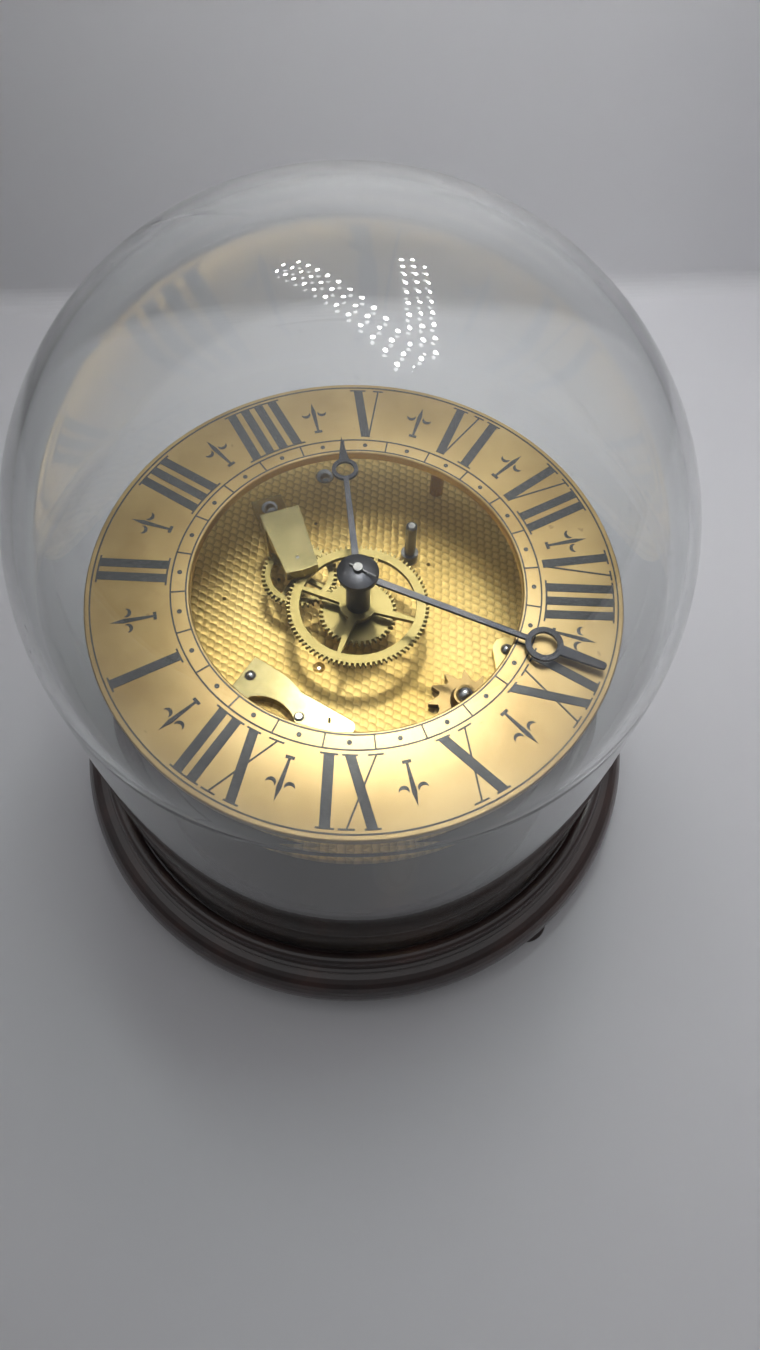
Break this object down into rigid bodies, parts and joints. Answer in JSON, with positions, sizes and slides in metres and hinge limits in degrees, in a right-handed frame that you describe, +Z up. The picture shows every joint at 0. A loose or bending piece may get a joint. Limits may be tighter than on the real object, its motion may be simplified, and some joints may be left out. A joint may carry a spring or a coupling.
{
  "type": "lantern clock",
  "caption": "Face-up lantern clock movement with an engraved brass chapter ring, under a glass dome on a round turned wooden base.",
  "frame": {"origin": "on the table under the middle of the round base", "axes": "+Z up through the hands' arbor and the top of the dome, +Y towards XII on the dial, +X towards III"},
  "size_m": [0.214, 0.214, 0.2325],
  "materials": {
    "wood": "dark polished mahogany",
    "glass": "clear blown glass",
    "dial_brass": "brushed and lacquered",
    "brass": "polished",
    "plate_brass": "spotted and lacquered",
    "blued": "blued and polished",
    "steel": "polished",
    "wax": "black engraver's wax"
  },
  "bodies": {
    "case": {"base_moulding": "wood", "floor_board": "wood", "bottom_board": "wood", "bun_feet": "wood", "support_columns": "brass", "column_screws": "steel", "dial_plate": "plate_brass", "lower_plate": "brass", "movement_pillars": "brass", "pillar_screws": "steel", "chapter_ring": "dial_brass", "dial_feet": "brass", "dial_foot_pins": "steel", "wax_numerals": "wax", "wax_tracks": "wax", "minute_wheel_cock": "plate_brass", "cock_screw": "steel", "steel_post": "steel", "curved_bridge": "plate_brass", "bridge_block": "brass", "bridge_screw": "steel", "bridge_bar": "plate_brass", "bridge_stud": "steel", "steel_strip": "steel", "click_screw": "steel", "click_spring": "steel", "hairspring_stud": "steel"},
    "dome": {"glass_dome": "glass"},
    "minute_works": {"centre_arbor": "steel", "centre_wheel": "brass", "cannon_wheel": "brass", "minute_hand": "blued", "hand_collet": "blued", "taper_pin": "steel"},
    "hour_works": {"hour_wheel": "brass", "hour_pipe": "blued", "hour_hand": "blued"},
    "minute_wheel_works": {"minute_wheel": "brass", "minute_pinion": "steel"},
    "inter_works": {"inter_arbor": "steel", "inter_wheel": "brass"},
    "barrel_works": {"barrel": "brass", "barrel_cover": "brass", "mainspring": "steel"},
    "winding_works": {"barrel_arbor": "steel", "ratchet_wheel": "brass", "ratchet_collar": "brass", "ratchet_screw": "steel"},
    "third_works": {"third_arbor": "steel", "third_wheel": "brass"},
    "fourth_works": {"fourth_arbor": "steel", "fourth_wheel": "brass"},
    "escape_works": {"escape_arbor": "steel", "escape_wheel": "brass"},
    "lever_works": {"pallet_lever": "steel"},
    "balance_works": {"balance_staff": "steel", "balance_wheel": "brass", "hairspring": "steel"},
    "click_works": {"click": "brass"}
  },
  "joints": [
    {"name": "minute_spin", "type": "hinge", "parent": "case", "child": "minute_works", "pos_m": [0, 0, 0], "axis": [0, 0, -1], "continuous": true},
    {"name": "hour_spin", "type": "hinge", "parent": "case", "child": "hour_works", "pos_m": [0, 0, 0], "axis": [0, 0, -1], "continuous": true},
    {"name": "minute_wheel_spin", "type": "hinge", "parent": "case", "child": "minute_wheel_works", "pos_m": [0.02413, -0.00181, 0], "axis": [0, 0, -1], "continuous": true},
    {"name": "inter_spin", "type": "hinge", "parent": "case", "child": "inter_works", "pos_m": [-0.0173, -0.011, 0], "axis": [0, 0, -1], "continuous": true},
    {"name": "barrel_spin", "type": "hinge", "parent": "case", "child": "barrel_works", "pos_m": [-0.04362, 0.00574, 0], "axis": [0, 0, -1], "continuous": true},
    {"name": "third_spin", "type": "hinge", "parent": "case", "child": "third_works", "pos_m": [0.0034, 0.0187, 0], "axis": [0, 0, -1], "continuous": true},
    {"name": "fourth_spin", "type": "hinge", "parent": "case", "child": "fourth_works", "pos_m": [0.0213, 0.0093, 0], "axis": [0, 0, -1], "continuous": true},
    {"name": "escape_spin", "type": "hinge", "parent": "case", "child": "escape_works", "pos_m": [0.03446, -0.00298, 0], "axis": [0, 0, -1], "continuous": true},
    {"name": "winding_turn", "type": "hinge", "parent": "case", "child": "winding_works", "pos_m": [-0.04362, 0.00574, 0], "axis": [0, 0, -1], "continuous": true},
    {"name": "click_swing", "type": "hinge", "parent": "case", "child": "click_works", "pos_m": [-0.0464, -0.0186, 0], "axis": [0, 0, 1], "range_deg": [0, 3]},
    {"name": "lever_swing", "type": "hinge", "parent": "case", "child": "lever_works", "pos_m": [0.03551, -0.01342, 0], "axis": [0, 0, 1], "range_deg": [-4, 4]},
    {"name": "balance_swing", "type": "hinge", "parent": "case", "child": "balance_works", "pos_m": [0.03715, -0.02984, 0], "axis": [0, 0, 1], "range_deg": [-135, 135]},
    {"name": "dome_lift", "type": "slide", "parent": "case", "child": "dome", "axis": [0, 0, 1], "range_m": [0, 0.15]}
  ],
  "couplings": [
    {"joint": "hour_spin", "follows": "minute_spin", "ratio": 0.083333},
    {"joint": "minute_wheel_spin", "follows": "minute_spin", "ratio": -1},
    {"joint": "inter_spin", "follows": "minute_spin", "ratio": -0.16667},
    {"joint": "barrel_spin", "follows": "minute_spin", "ratio": 0.02381},
    {"joint": "third_spin", "follows": "minute_spin", "ratio": -10},
    {"joint": "fourth_spin", "follows": "minute_spin", "ratio": 50},
    {"joint": "escape_spin", "follows": "minute_spin", "ratio": -480}
  ]
}
